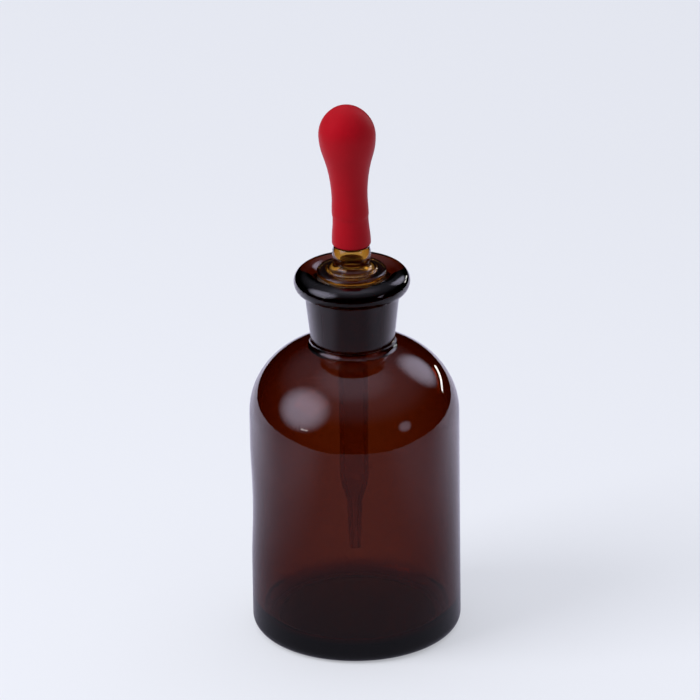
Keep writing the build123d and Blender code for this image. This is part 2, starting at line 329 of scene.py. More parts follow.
def lathe_tree() -> bpy.types.GeometryNodeTree:
    """Builds the tree that turns a half section, drawn in the XZ plane, into a closed piece.

    Returns:
        The tree. Its inputs are named for what they set, and its result is a real mesh.
    """
    tree = bpy.data.node_groups.new("turned_about_the_axis", "GeometryNodeTree")
    numbers = [
        (socket_name(field.name), "Int" if field.type is int else "Float") for field in fields(Turning)
    ]
    for name, kind in [("Outline", "Geometry"), *numbers, ("Finish", "Material")]:
        tree.interface.new_socket(name, in_out="INPUT", socket_type=f"NodeSocket{kind}")
    tree.interface.new_socket("Piece", in_out="OUTPUT", socket_type="NodeSocketGeometry")
    given = add(tree, "NodeGroupInput").outputs

    # One column of the grid for each spot of the outline, and one row for each side
    size = add(tree, "GeometryNodeAttributeDomainSize", {"Geometry": given["Outline"]}, component="MESH")
    spot_count = size.outputs["Point Count"]
    rows = add(tree, MATH, (given["Sides"], 1.0), operation="ADD")
    grid = add(tree, "GeometryNodeMeshGrid", {
        "Size X": 1.0, "Size Y": 1.0, "Vertices X": spot_count, "Vertices Y": rows,
    })
    place = add(tree, "ShaderNodeSeparateXYZ", (add(tree, "GeometryNodeInputPosition"),)).outputs
    along, about = (add(tree, MATH, (place[axis], 0.5), operation="ADD") for axis in "XY")
    last_spot = add(tree, MATH, (spot_count, 1.0), operation="SUBTRACT")
    column = add(tree, MATH, (add(tree, MATH, (along, last_spot), operation="MULTIPLY"),), operation="ROUND")
    angle = add(tree, MATH, (about, 2 * math.pi), operation="MULTIPLY")
    cosine, sine = (add(tree, MATH, (angle,), operation=operation) for operation in ("COSINE", "SINE"))

    # What the outline says at the spot that a point of the grid stands for
    sources = [("FLOAT_VECTOR", add(tree, "GeometryNodeInputPosition"))]
    for surface in (Surface.FREE, Surface.GROUND):
        flag = add(tree, "GeometryNodeInputNamedAttribute", {"Name": surface.value}, data_type="FLOAT")
        sources.append(("FLOAT", flag))
    spot, free, ground = (
        add(tree, "GeometryNodeSampleIndex", {
            "Geometry": given["Outline"], "Value": source, "Index": column,
        }, data_type=kind, domain="POINT")
        for kind, source in sources
    )
    spot_place = add(tree, "ShaderNodeSeparateXYZ", (spot,)).outputs
    across, level = spot_place["X"], spot_place["Z"]

    # A free face strays in and out, by a noise that closes on itself round the axis
    true_place = add(tree, "ShaderNodeCombineXYZ", (
        add(tree, MATH, (across, cosine), operation="MULTIPLY"),
        add(tree, MATH, (across, sine), operation="MULTIPLY"),
        level,
    ))
    noise = add(tree, "ShaderNodeTexNoise", {
        "Vector": true_place, "W": given["Seed"], "Detail": 1.0, "Roughness": 0.4,
        "Scale": add(tree, MATH, (1.0, given["Wander Size"]), operation="DIVIDE"),
    }, noise_dimensions="4D")
    stray = add(tree, MATH, (noise, 0.5), operation="SUBTRACT")
    for share in (given["Wander"], 2.0, free):
        stray = add(tree, MATH, (stray, share), operation="MULTIPLY")
    wandered = add(tree, MATH, (across, stray), operation="ADD")

    # The hollow in the side that faces -X fades out up, down and round the piece
    off_level = add(tree, MATH, (level, given["Sink Level"]), operation="SUBTRACT")
    off = add(tree, MATH, (off_level, given["Sink Reach"]), operation="DIVIDE")
    off_squared = add(tree, MATH, (off, off), operation="MULTIPLY")
    upright = add(tree, MATH, (1.0, off_squared), operation="SUBTRACT", use_clamp=True)
    facing = add(tree, MATH, (cosine, -1.0), operation="MULTIPLY", use_clamp=True)
    fades = tuple(add(tree, MATH, (share, 2.0), operation="POWER") for share in (upright, facing))
    fade = add(tree, MATH, fades, operation="MULTIPLY")
    hollow = add(tree, MATH, (given["Sink"], fade), operation="MULTIPLY")
    radius = add(tree, MATH, (wandered, hollow), operation="SUBTRACT")

    # The lean grows evenly from its foot to its head
    way = add(tree, MATH, (level, given["Lean Foot"]), operation="SUBTRACT")
    whole_way = add(tree, MATH, (given["Lean Head"], given["Lean Foot"]), operation="SUBTRACT")
    grown = add(tree, MATH, (way, whole_way), operation="DIVIDE", use_clamp=True)
    leaned = add(tree, MATH, (given["Lean"], grown), operation="MULTIPLY")
    moved = add(tree, MATH, (leaned, given["Offset"]), operation="ADD")
    unmoved = add(tree, MATH, (radius, cosine), operation="MULTIPLY")
    turned_place = add(tree, "ShaderNodeCombineXYZ", (
        add(tree, MATH, (unmoved, moved), operation="ADD"),
        add(tree, MATH, (radius, sine), operation="MULTIPLY"),
        level,
    ))

    # The mark is read by the grid's own places, so it is stored before they change
    marked = add(tree, "GeometryNodeStoreNamedAttribute", {
        "Geometry": grid, "Name": Surface.GROUND.value, "Value": ground,
    }, data_type="FLOAT", domain="POINT")
    turned = add(tree, "GeometryNodeSetPosition", {"Geometry": marked, "Position": turned_place})
    closed = add(tree, "GeometryNodeMergeByDistance", {"Geometry": turned, "Distance": MERGE * MM})
    smooth = add(tree, "GeometryNodeSetShadeSmooth", {"Geometry": closed, "Shade Smooth": True})
    real = add(tree, "GeometryNodeRealizeInstances", {"Geometry": smooth})
    finished = add(tree, "GeometryNodeSetMaterial", {"Geometry": real, "Material": given["Finish"]})
    add(tree, "NodeGroupOutput", {"Piece": finished})
    return tree


def turn(name: str, outline: Outline, turning: Turning, finish: bpy.types.Material,
         tree: bpy.types.GeometryNodeTree) -> bpy.types.Object:
    """Turns an outline into a finished piece whose object sits at the origin.

    Args:
        name: Name of the piece.
        outline: Its half section, in millimetres.
        turning: How it is turned.
        finish: Its material.
        tree: The tree of lathe_tree().

    Returns:
        The piece, a plain closed mesh.
    """
    spots = outline.rounded()
    section = bpy.data.meshes.new(f"{name}_section")
    places = [(spot.x * MM, 0.0, spot.y * MM) for spot, _ in spots]
    section.from_pydata(places, [(at, at + 1) for at in range(len(places) - 1)], [])
    for flag in (Surface.FREE, Surface.GROUND):
        values = [float(surface is flag) for _, surface in spots]
        section.attributes.new(flag.value, "FLOAT", "POINT").data.foreach_set("value", values)
    piece = bpy.data.objects.new(name, section)
    bpy.context.scene.collection.objects.link(piece)
    modifier = piece.modifiers.new("turning", "NODES")
    modifier.node_group = tree
    given = {"Finish": finish}
    for field in fields(turning):
        value = getattr(turning, field.name)
        given[socket_name(field.name)] = value if field.type is int else value * MM
    for item in tree.interface.items_tree:
        if item.name in given:
            modifier[item.identifier] = given[item.name]
    evaluated = piece.evaluated_get(bpy.context.evaluated_depsgraph_get())
    mesh = bpy.data.meshes.new_from_object(evaluated)
    piece.modifiers.remove(modifier)
    piece.data = mesh
    bpy.data.meshes.remove(section)
    mesh.name = name
    if signed_volume(mesh) < 0:
        mesh.flip_normals()
    return piece


def signed_volume(mesh: bpy.types.Mesh) -> float:
    """Adds up the volume inside a closed mesh.

    Args:
        mesh: The mesh.

    Returns:
        The volume in cubic metres, below zero where the mesh is inside out.
    """
    mesh.calc_loop_triangles()
    corners = [vertex.co for vertex in mesh.vertices]
    wedges = ([corners[at] for at in triangle.vertices] for triangle in mesh.loop_triangles)
    return sum(a.dot(b.cross(c)) for a, b, c in wedges) / 6


@dataclass(frozen=True)
class Glass:
    """Clear coloured glass, with its ground faces frosted.

    Args:
        name: What the glass is.
        through: Colour of white light after a depth of the glass, as an sRGB hex value.
        depth: That depth, in millimetres.
        refraction: Index of refraction.
        gloss: Roughness of a moulded or fire-polished face.
        frost: Roughness of a ground face.
        scatter: Share of the light that a ground face scatters every way.
        grit: How much of that light it gives on, half back and half through.
    """

    name: str
    through: str
    depth: float
    refraction: float = 1.52
    gloss: float = 0.02
    frost: float = 0.45
    scatter: float = 0.25
    grit: float = 0.9

    def material(self) -> bpy.types.Material:
        """Builds the material.

        Returns:
            A clear skin, frosted where it is ground, over a body that takes up light with depth.
        """
        material = bpy.data.materials.new(self.name)
        tree = emptied(material)
        ground = add(tree, "ShaderNodeAttribute", attribute_name=Surface.GROUND.value).outputs["Fac"]
        roughness = add(tree, "ShaderNodeMapRange", {
            "Value": ground, "To Min": self.gloss, "To Max": self.frost,
        })
        skin = add(tree, "ShaderNodeBsdfPrincipled", {
            "Base Color": (1.0, 1.0, 1.0, 1.0), "Metallic": 0.0, "Roughness": roughness,
            "IOR": self.refraction, "Transmission Weight": 1.0,
        })
        taken = [-math.log(channel) / (self.depth * MM) for channel in linear(self.through)]
        density = max(taken)
        left = [1 - share / density for share in taken]
        body = add(tree, "ShaderNodeVolumeAbsorption", {"Color": (*left, 1.0), "Density": density})
        back, through = (
            add(tree, kind, {"Color": (self.grit, self.grit, self.grit, 1.0)})
            for kind in ("ShaderNodeBsdfDiffuse", "ShaderNodeBsdfTranslucent")
        )
        scattered = add(tree, "ShaderNodeMixShader", (0.5, back, through))
        share = add(tree, MATH, (ground, self.scatter), operation="MULTIPLY")
        surface = add(tree, "ShaderNodeMixShader", (share, skin, scattered))
        add(tree, "ShaderNodeOutputMaterial", {"Surface": surface, "Volume": body})
        return material


@dataclass(frozen=True)
class Rubber:
    """Dipped rubber: matt, with the faintest bloom where it is seen edge on.

    Args:
        name: What the rubber is.
        colour: Its colour, as an sRGB hex value.
        shade: The darker colour of its faint mottling.
        bloom: Colour of its bloom.
        mottle: Size of the mottling, in millimetres.
        smoothest: Least roughness of the skin.
        roughest: Most roughness of the skin.
        grain: Size of the skin's fine grain, in millimetres.
        grain_depth: Depth of that grain, in millimetres.
    """

    name: str
    colour: str
    shade: str
    bloom: str = "ffb8b8"
    mottle: float = 3.0
    smoothest: float = 0.42
    roughest: float = 0.55
    grain: float = 0.35
    grain_depth: float = 0.02

    def material(self) -> bpy.types.Material:
        """Builds the material.

        Returns:
            A mottled skin with a fine grain and a soft bloom.
        """
        material = bpy.data.materials.new(self.name)
        tree = emptied(material)
        place = add(tree, "ShaderNodeTexCoord").outputs["Object"]
        mottle = add(tree, "ShaderNodeTexNoise", {
            "Vector": place, "Scale": 1 / (self.mottle * MM), "Detail": 3.0, "Roughness": 0.6,
        })
        colour = add(tree, "ShaderNodeMix", {
            "Factor": mottle, "A": (*linear(self.shade), 1.0), "B": (*linear(self.colour), 1.0),
        }, data_type="RGBA").outputs["Result"]
        roughness = add(tree, "ShaderNodeMapRange", {
            "Value": mottle, "To Min": self.smoothest, "To Max": self.roughest,
        })
        grain = add(tree, "ShaderNodeTexNoise", {
            "Vector": place, "Scale": 1 / (self.grain * MM), "Detail": 2.0,
        })
        bump = add(tree, "ShaderNodeBump", {
            "Height": grain, "Strength": 0.25, "Distance": self.grain_depth * MM,
        })
        skin = add(tree, "ShaderNodeBsdfPrincipled", {
            "Base Color": colour, "Roughness": roughness, "IOR": 1.5, "Normal": bump,
            "Specular IOR Level": 0.1, "Sheen Weight": 0.03, "Sheen Roughness": 0.35,
            "Sheen Tint": (*linear(self.bloom), 1.0),
        })
        add(tree, "ShaderNodeOutputMaterial", {"Surface": skin})
        return material


@dataclass(frozen=True)
class GroundJoint:
    """The ground cone that the dropper shares with the bottle's mouth, in millimetres."""

    level: float
    diameter: float
    length: float
    taper: float
    clearance: float

    def radius_at(self, level: float) -> float:
        """Radius of the bottle's ground bore at a level."""
        return self.diameter / 2 - (self.level - level) * self.taper / 2


@dataclass
class Bottle:
    """The moulded amber bottle, in millimetres."""

    body_diameter: float = 45.0
    body_height: float = 49.7
    body_wall: float = 2.4
    heel_radius: float = 2.5
    inner_heel_radius: float = 3.6
    foot_width: float = 3.0
    foot_edge: float = 0.5           # round where the foot ring meets the punt
    punt_height: float = 1.6
    base_thickness: float = 3.2
    shoulder_rise: float = 16.45     # half-axes of the shoulder's ellipse, up
    shoulder_reach: float = 18.74    # and across
    neck_root_diameter: float = 17.7
    neck_top_diameter: float = 20.3
    neck_height: float = 12.0
    neck_root_round: float = 1.4
    throat_round: float = 1.6
    lip_overhang: float = 2.25       # how far the lip stands out beyond the neck's top
    lip_bead: float = 2.48           # radius of the lip's section
    lip_root_round: float = 0.35
    mouth_bevel: float = 30.0        # degrees that the mouth slopes down to its joint
    mouth_edge: float = 0.12
    joint_diameter: float = 13.8
    joint_length: float = 15.0
    joint_taper: float = 0.1         # change of diameter for each millimetre of length
    joint_clearance: float = 0.04
    hollow_depth: float = 0.36       # of the shallow hollow in the body's left side
    hollow_level: float = 29.0
    hollow_reach: float = 14.0

    @staticmethod
    def _cap_radius(half_chord: float, height: float) -> float:
        """Radius of the circle whose cap has this half chord and height."""
        return (half_chord**2 + height**2) / (2 * height)

    @staticmethod
    def _ellipse_turn(radius: float, centre: float, reach: float) -> float:
        """Angle at which an upright ellipse stands at a radius, in degrees."""
        return math.degrees(math.acos((radius - centre) / reach))

    def lip_centre(self) -> tuple[float, float]:
        """Places the lip's bead where the neck ends.

        Returns:
            Radius and level of the bead's centre.
        """
        across = (self.neck_root_diameter - self.body_diameter) / 2 + self.shoulder_reach
        rise = self.shoulder_rise * math.sqrt(1 - (across / self.shoulder_reach) ** 2)
        radius = self.neck_top_diameter / 2 + self.lip_overhang - self.lip_bead
        return radius, self.body_height + rise + self.neck_height + self.lip_bead

    def joint(self) -> GroundJoint:
        """Places the ground joint where the bevelled mouth runs into the bore.

        Returns:
            The joint that the bottle shares with its dropper.
        """
        crest, level = self.lip_centre()
        bevel = math.radians(self.mouth_bevel)
        run = crest - self.lip_bead * math.sin(bevel) - self.joint_diameter / 2
        level += self.lip_bead * math.cos(bevel) - run * math.tan(bevel)
        return GroundJoint(
            level, self.joint_diameter, self.joint_length, self.joint_taper, self.joint_clearance,
        )

    def outline(self) -> Outline:
        """Walks from under the base, up the outside, over the lip and down the inside to the floor.

        Returns:
            The bottle's half section.
        """
        joint = self.joint()
        body = self.body_diameter / 2
        foot_outer = body - self.heel_radius
        foot_inner = foot_outer - self.foot_width
        shoulder = body - self.shoulder_reach
        neck_root, neck_top = self.neck_root_diameter / 2, self.neck_top_diameter / 2
        punt = self._cap_radius(foot_inner, self.punt_height)
        punt_turn = math.degrees(math.asin(foot_inner / punt))
        walk = Outline(0, self.punt_height, Surface.TRUE)
        walk.arc((0, self.punt_height - punt), punt, punt, 90, -punt_turn)
        walk.corner(self.foot_edge)
        walk.line(foot_outer, 0)
        walk.arc((foot_outer, self.heel_radius), self.heel_radius, self.heel_radius, -90, 90)
        walk.line(body, self.body_height)
        shoulder_turn = self._ellipse_turn(neck_root, shoulder, self.shoulder_reach)
        walk.arc((shoulder, self.body_height), self.shoulder_reach, self.shoulder_rise, 0, shoulder_turn)
        walk.corner(self.neck_root_round)

        crest, lip = self.lip_centre()
        root_turn = -math.degrees(math.acos((neck_top - crest) / self.lip_bead))
        walk.line(neck_top, lip + self.lip_bead * math.sin(math.radians(root_turn)))
        walk.corner(self.lip_root_round)
        walk.arc((crest, lip), self.lip_bead, self.lip_bead, root_turn, 90 + self.mouth_bevel - root_turn)
        walk.line(joint.diameter / 2, joint.level)
        walk.corner(self.mouth_edge)
        walk.surface = Surface.GROUND
        joint_foot = joint.level - joint.length
        throat = joint.radius_at(joint_foot)
        walk.line(throat, joint_foot)

        walk.surface = Surface.FREE
        inner_reach = self.shoulder_reach - self.body_wall
        inner_rise = self.shoulder_rise - self.body_wall
        inner_turn = self._ellipse_turn(throat, shoulder, inner_reach)
        walk.line(throat, self.body_height + inner_rise * math.sin(math.radians(inner_turn)))
        walk.corner(self.throat_round)
        walk.arc((shoulder, self.body_height), inner_reach, inner_rise, inner_turn, -inner_turn)
        inner = body - self.body_wall
        heel_level = self.base_thickness + self.inner_heel_radius
        floor_edge = inner - self.inner_heel_radius
        floor = self._cap_radius(floor_edge, self.punt_height)
        floor_turn = math.degrees(math.asin(floor_edge / floor))
        walk.line(inner, heel_level)
        walk.arc((floor_edge, heel_level), self.inner_heel_radius, self.inner_heel_radius, 0, -90)
        walk.surface = Surface.TRUE
        floor_centre = (0, self.base_thickness + self.punt_height - floor)
        walk.arc(floor_centre, floor, floor, 90 - floor_turn, floor_turn)
        walk.spots[-1].x = 0
        return walk

    def build(self, tree: bpy.types.GeometryNodeTree) -> bpy.types.Object:
        """Turns the bottle and dresses it in amber glass.

        Args:
            tree: The tree of lathe_tree().

        Returns:
            The finished bottle.
        """
        # Amber container glass, moulded: a smooth skin, and a brown that goes black with depth
        amber = Glass("moulded_amber_glass", through="caa587", depth=1.0)
        turning = Turning(
            sides=224, wander=0.05, wander_size=15.0, lean=NECK_LEAN, lean_foot=self.body_height,
            lean_head=self.body_height + self.shoulder_rise, sink=self.hollow_depth,
            sink_level=self.hollow_level, sink_reach=self.hollow_reach, seed=3,
        )
        piece = turn("amber_bottle", self.outline(), turning, amber.material(), tree)
        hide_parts("bottle")
        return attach(piece, "bottle")


@dataclass
class Dropper:
    """The ground-in dropper, one piece of blown and drawn glass, in millimetres."""

    joint: GroundJoint
    flange_diameter: float = 15.0
    flange_thickness: float = 1.3
    flange_gap: float = 0.4          # between the ground joint's top and the flange
    plug_overrun: float = 0.5        # how far over the joint's foot the plug ends
    plug_wall: float = 1.5
    plug_dome_height: float = 3.0
    plug_dome_round: float = 0.9
    ring_diameter: float = 10.4
    ring_height: float = 0.4         # of the ring raised on the flange
    ring_slope: float = 0.35
    ring_root_round: float = 0.3
    stem_diameter: float = 7.8
    stem_height: float = 1.4
    collar_diameter: float = 8.3
    collar_top_diameter: float = 7.5
    collar_height: float = 3.95
    collar_top_round: float = 0.25
    collar_foot_round: float = 0.4
    collar_wall: float = 1.6
    barrel_diameter: float = 5.6
    barrel_wall: float = 1.0
    barrel_height: float = 8.4
    barrel_root_round: float = 0.15
    bead_diameter: float = 5.8       # of the swelling that holds the teat
    bead_length: float = 0.9
    tube_diameter: float = 6.2
    tube_wall: float = 1.0
    tube_length: float = 27.8
    draw_length: float = 9.0
    tip_root_diameter: float = 3.2
    tip_diameter: float = 2.4
    tip_bore_diameter: float = 1.0
    tip_length: float = 9.0

    def collar_top(self) -> float:
        """Returns the level of the shoulder that the teat's rim stands over."""
        flange_top = self.joint.level + self.flange_gap + self.flange_thickness
        return flange_top + self.stem_height + self.collar_height

    @staticmethod
    def _through(start: Vector, middle: Vector, end: Vector) -> tuple[Vector, float, float, float]:
        """Finds the circle through three spots.

        Args:
            start: The first spot.
            middle: The spot between.
            end: The last spot.

        Returns:
            Its centre and radius, the angle of the first spot, and the turn to the last one by way of the
            middle one, in degrees.
        """
        a, b = middle - start, end - start
        across = b.y * a.length_squared - a.y * b.length_squared
        up = a.x * b.length_squared - b.x * a.length_squared
        to_centre = Vector((across, up)) / (2 * a.cross(b))
        centre = start + to_centre
        angles = [
            math.degrees(math.atan2(spot.y - centre.y, spot.x - centre.x)) for spot in (start, middle, end)
        ]
        turn_by_middle = (angles[1] - angles[0] + 180) % 360 - 180
        turn_on = (angles[2] - angles[1] + 180) % 360 - 180
        return centre, to_centre.length, angles[0], turn_by_middle + turn_on

    def _curve(self, walk: Outline, middle: tuple[float, float], end: tuple[float, float]) -> None:
        """Follows the circle from the last spot through a middle one to an end."""
        centre, radius, start, sweep = self._through(walk.spots[-1], Vector(middle), Vector(end))
        walk.arc(tuple(centre), radius, radius, start, sweep)

    def outline(self) -> Outline:
        """Walks over the barrel's end, down the outside to the tip and back up the bore.

        Returns:
            The dropper's half section.
        """
        joint = self.joint
        barrel_top = self.collar_top() + self.barrel_height
        barrel, bead = self.barrel_diameter / 2, self.bead_diameter / 2
        bore = barrel - self.barrel_wall
        rim = (bead - bore) / 2
        walk = Outline(bore, barrel_top - rim, Surface.TRUE)
        self._curve(walk, (bore + rim, barrel_top), (bead, barrel_top - rim))
        walk.swing(barrel, barrel_top - self.bead_length)
        collar_top = self.collar_top()
        walk.line(barrel, collar_top)
        walk.corner(self.barrel_root_round)

        # Collar, stem and flange
        collar_foot = collar_top - self.collar_height
        collar_middle = (collar_top + collar_foot) / 2
        stem = self.stem_diameter / 2
        walk.line(self.collar_top_diameter / 2, collar_top)
        walk.corner(self.collar_top_round)
        self._curve(walk, (self.collar_diameter / 2, collar_middle), (stem, collar_foot))
        walk.corner(self.collar_foot_round)
        flange_foot = joint.level + self.flange_gap
        flange_top = flange_foot + self.flange_thickness
        ring, ring_top = self.ring_diameter / 2, flange_top + self.ring_height
        walk.upright_arc(Vector((stem, collar_foot)), Vector((ring, ring_top)), from_upright=True)
        walk.corner(self.ring_slope / 2)
        walk.line(ring + self.ring_slope, flange_top)
        walk.corner(self.ring_root_round)
        edge = self.flange_thickness / 2
        flat = self.flange_diameter / 2 - edge
        walk.line(flat, flange_top)
        walk.arc((flat, flange_top - edge), edge, edge, 90, -180)
        plug_top = joint.radius_at(flange_foot) - joint.clearance
        walk.line(plug_top, flange_foot)

        # Ground cone, domed foot, tube and tip
        plug_foot = joint.level - joint.length + self.plug_overrun
        plug = joint.radius_at(plug_foot) - joint.clearance
        tube, tube_top = self.tube_diameter / 2, plug_foot - self.plug_dome_height
        walk.surface = Surface.GROUND
        walk.line(plug, plug_foot)
        walk.surface = Surface.TRUE
        walk.arc((tube, plug_foot), plug - tube, self.plug_dome_height, 0, -90)
        walk.corner(self.plug_dome_round)
        draw_top = tube_top - self.tube_length
        walk.line(tube, draw_top)
        tip_root = draw_top - self.draw_length
        tip_level = tip_root - self.tip_length
        walk.swing(self.tip_root_diameter / 2, tip_root)
        tip, tip_bore = self.tip_diameter / 2, self.tip_bore_diameter / 2
        tip_rim = (tip - tip_bore) / 2
        walk.line(tip, tip_level + tip_rim)
        self._curve(walk, (tip_bore + tip_rim, tip_level), (tip_bore, tip_level + tip_rim))

        # Up the bore: tip, tube, hollow plug, stem, collar and barrel
        tube_bore = tube - self.tube_wall
        walk.surface = Surface.FREE
        walk.line(tip_bore, tip_root)
        walk.swing(tube_bore, draw_top)
        walk.line(tube_bore, tube_top + self.tube_wall)
        walk.corner(self.plug_dome_round)
        cavity = plug - self.plug_wall
        walk.arc((tube_bore, plug_foot), cavity - tube_bore, self.plug_dome_height - self.tube_wall, -90, 90)
        walk.line(plug_top - self.plug_wall, flange_foot - self.plug_wall)
        walk.swing(stem - self.collar_wall, collar_foot)
        swell = self.collar_diameter / 2 - self.collar_wall
        self._curve(walk, (swell, collar_middle), (bore, collar_top))
        walk.surface = Surface.TRUE
        walk.line(bore, barrel_top - rim)
        return walk

    def build(self, tree: bpy.types.GeometryNodeTree) -> bpy.types.Object:
        """Turns the dropper and dresses it in thin pale amber glass.

        Args:
            tree: The tree of lathe_tree().

        Returns:
            The finished dropper.
        """
        # Pale amber tubing, drawn in a flame: the same glass family, drawn thin and much lighter
        pale = Glass("drawn_pale_amber_glass", through="e8d4a8", depth=1.0)
        turning = Turning(sides=160, wander=0.05, wander_size=5.0, offset=NECK_LEAN, seed=5)
        piece = turn("glass_dropper", self.outline(), turning, pale.material(), tree)
        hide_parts("dropper_pipette")
        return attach(piece, "dropper")


@dataclass
class Teat:
    """The dipped rubber teat on the dropper's barrel, in millimetres."""

    dropper: Dropper
    seat_gap: float = 0.3            # between the rim and the dropper's collar
    fit_clearance: float = 0.05
    rim_diameter: float = 8.3
    rim_round: float = 0.45
    sleeve_diameter: float = 7.64
    bead_swell: float = 0.11         # how far the sleeve stands out over the barrel's bead
    flare_height: float = 6.2
    neck_height: float = 2.6
    bulb_diameter: float = 12.15
    flank_height: float = 14.1
    flank_share: float = 0.7         # part of the bulb's flank that its lower arc takes
    crown_lift: float = 0.48         # from the bulb's widest level up to the crown's centre, beside the next
    crown_tightening: float = 0.5    # how much smaller the crown's radius is than the bulb's
    wall: float = 1.0
    bore_edge_round: float = 0.1
    lean: float = -0.8
    lean_foot: float = 1.0
    lean_length: float = 30.0

    def outline(self) -> Outline:
        """Walks from the top of the hollow down its inside, round the rim and up to the crown.

        Returns:
            The teat's half section.
        """
        barrel_top = self.dropper.collar_top() + self.dropper.barrel_height
        bead_foot = barrel_top - self.dropper.bead_length
        rim_level = self.dropper.collar_top() + self.seat_gap
        rim, sleeve = self.rim_diameter / 2, self.sleeve_diameter / 2
        bore = self.dropper.bead_diameter / 2 + self.fit_clearance
        neck = barrel_top + self.neck_height
        bulb, bulb_level = self.bulb_diameter / 2, neck + self.flank_height
        cap_rise = self.crown_lift + self.crown_tightening
        crown_level, cap = bulb_level + cap_rise, bulb - self.crown_tightening
        side = cap + (self.crown_tightening**2 + cap_rise**2) / (2 * self.crown_tightening)
        crown_turn = math.degrees(math.atan2(cap_rise, side - bulb))

        walk = Outline(0, crown_level + cap - self.wall, Surface.TRUE)
        walk.arc((0, crown_level), cap - self.wall, cap - self.wall, 90, crown_turn - 90)
        walk.arc((bulb - side, bulb_level), side - self.wall, side - self.wall, crown_turn, -crown_turn)
        walk.swing(bore, neck, 1 - self.flank_share)
        walk.line(bore, rim_level)
        walk.corner(self.bore_edge_round)

        rim_flat = rim - self.rim_round
        walk.line(rim_flat, rim_level)
        walk.arc((rim_flat, rim_level + self.rim_round), self.rim_round, self.rim_round, -90, 90)
        walk.surface = Surface.FREE
        walk.swing(sleeve, rim_level + self.flare_height)
        walk.swing(sleeve + self.bead_swell, bead_foot)
        walk.swing(sleeve, neck)
        walk.swing(bulb, bulb_level, self.flank_share)
        walk.arc((bulb - side, bulb_level), side, side, 0, crown_turn)
        walk.surface = Surface.TRUE
        walk.arc((0, crown_level), cap, cap, crown_turn, 90 - crown_turn)
        walk.spots[-1].x = 0
        return walk

    def build(self, tree: bpy.types.GeometryNodeTree) -> bpy.types.Object:
        """Turns the teat and dresses it in red rubber.

        Args:
            tree: The tree of lathe_tree().

        Returns:
            The finished teat.
        """
        # Dipped red rubber: dull and deep red, with hardly any bloom at its edges
        red = Rubber("dipped_red_rubber", colour="a80719", shade="9c0616")
        lean_foot = self.dropper.collar_top() + self.seat_gap + self.lean_foot
        turning = Turning(
            sides=160, wander=0.03, wander_size=4.0, lean=self.lean, lean_foot=lean_foot,
            lean_head=lean_foot + self.lean_length, offset=NECK_LEAN, seed=7,
        )
        piece = turn("red_teat", self.outline(), turning, red.material(), tree)
        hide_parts("rubber_teat")
        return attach(piece, "teat")


@dataclass(frozen=True)
class SoftBox:
    """A flat soft lamp that faces the bottle.

    Args:
        name: What the lamp is.
        azimuth: Where it stands, in degrees from the camera's side, to the right if positive.
        elevation: Its height as an angle over the table, in degrees.
        distance: From the bottle, in metres.
        width: Its width, in metres.
        height: Its height, in metres.
        level: Its brightness, where 1 is white.
        mirrored: Whether glass and rubber show it as a reflection.
    """

    name: str
    azimuth: float
    elevation: float
    distance: float
    width: float
    height: float
    level: float
    mirrored: bool = True

    def build(self, aim: Vector) -> None:
        """Hangs the lamp and points it at a place.

        Args:
            aim: The place, in metres.
        """
        lamp = bpy.data.lights.new(self.name, "AREA")
        lamp.shape = "RECTANGLE"
        lamp.size, lamp.size_y = self.width, self.height
        lamp.energy = self.level * math.pi * self.width * self.height
        holder = bpy.data.objects.new(self.name, lamp)
        away = direction(self.azimuth, self.elevation)
        holder.location = aim + away * self.distance
        holder.rotation_euler = away.to_track_quat("Z", "Y").to_euler()
        holder.visible_glossy = self.mirrored
        bpy.context.scene.collection.objects.link(holder)


class Axis(Enum):
    """A way along which a light's level changes, as the camera sees it."""

    RIGHT = "X"
    BACK = "Y"
    UP = "Z"


class Easing(Enum):
    """How a light's level goes from one value to another."""

    EVEN = "LINEAR"
    SOFT = "SMOOTHSTEP"


@dataclass(frozen=True)
class Glow:
    """A soft-edged round light that only reflections show.

    Args:
        azimuth: Where it is, in degrees from the camera's side, to the right if positive.
        elevation: Its height as an angle over the table, in degrees.
        core: Half the angle of its even middle, in degrees.
        rim: Half the angle where it has faded out, in degrees.
        level: Its brightness, where 1 is white.
    """

    azimuth: float
    elevation: float
    core: float
    rim: float
    level: float

    def at(self, tree: bpy.types.NodeTree, way: bpy.types.NodeSocket) -> bpy.types.Node:
        """Reads the light's level along a direction.

        Args:
            tree: Tree that gets the nodes.
            way: The direction.

        Returns:
            The node that gives the level.
        """
        towards = direction(self.azimuth, self.elevation)
        near = add(tree, "ShaderNodeVectorMath", (way, towards), operation="DOT_PRODUCT").outputs["Value"]
        rim, core = (math.cos(math.radians(angle)) for angle in (self.rim, self.core))
        return add(tree, "ShaderNodeMapRange", {
            "Value": near, "From Min": rim, "From Max": core, "To Min": 0.0, "To Max": self.level,
        }, interpolation_type=Easing.SOFT.value)


@dataclass(frozen=True)
class Fade:
    """A level that changes along one axis.

    Args:
        axis: The way along which it changes.
        start: Where the change starts: metres on the table, or a part of a direction that is one long.
        end: Where it ends.
        low: Level up to the start, where 1 is white.
        high: Level from the end on.
        easing: How it goes from the one to the other.
    """

    axis: Axis
    start: float
    end: float
    low: float
    high: float
    easing: Easing = Easing.SOFT

    def at(self, tree: bpy.types.NodeTree, place: bpy.types.NodeSocket) -> bpy.types.Node:
        """Reads the level at a place or along a direction.

        Args:
            tree: Tree that gets the nodes.
            place: The place or the direction.

        Returns:
            The node that gives the level.
        """
        return add(tree, "ShaderNodeMapRange", {
            "Value": add(tree, "ShaderNodeSeparateXYZ", (place,)).outputs[self.axis.value],
            "From Min": self.start, "From Max": self.end, "To Min": self.low, "To Max": self.high,
        }, interpolation_type=self.easing.value)


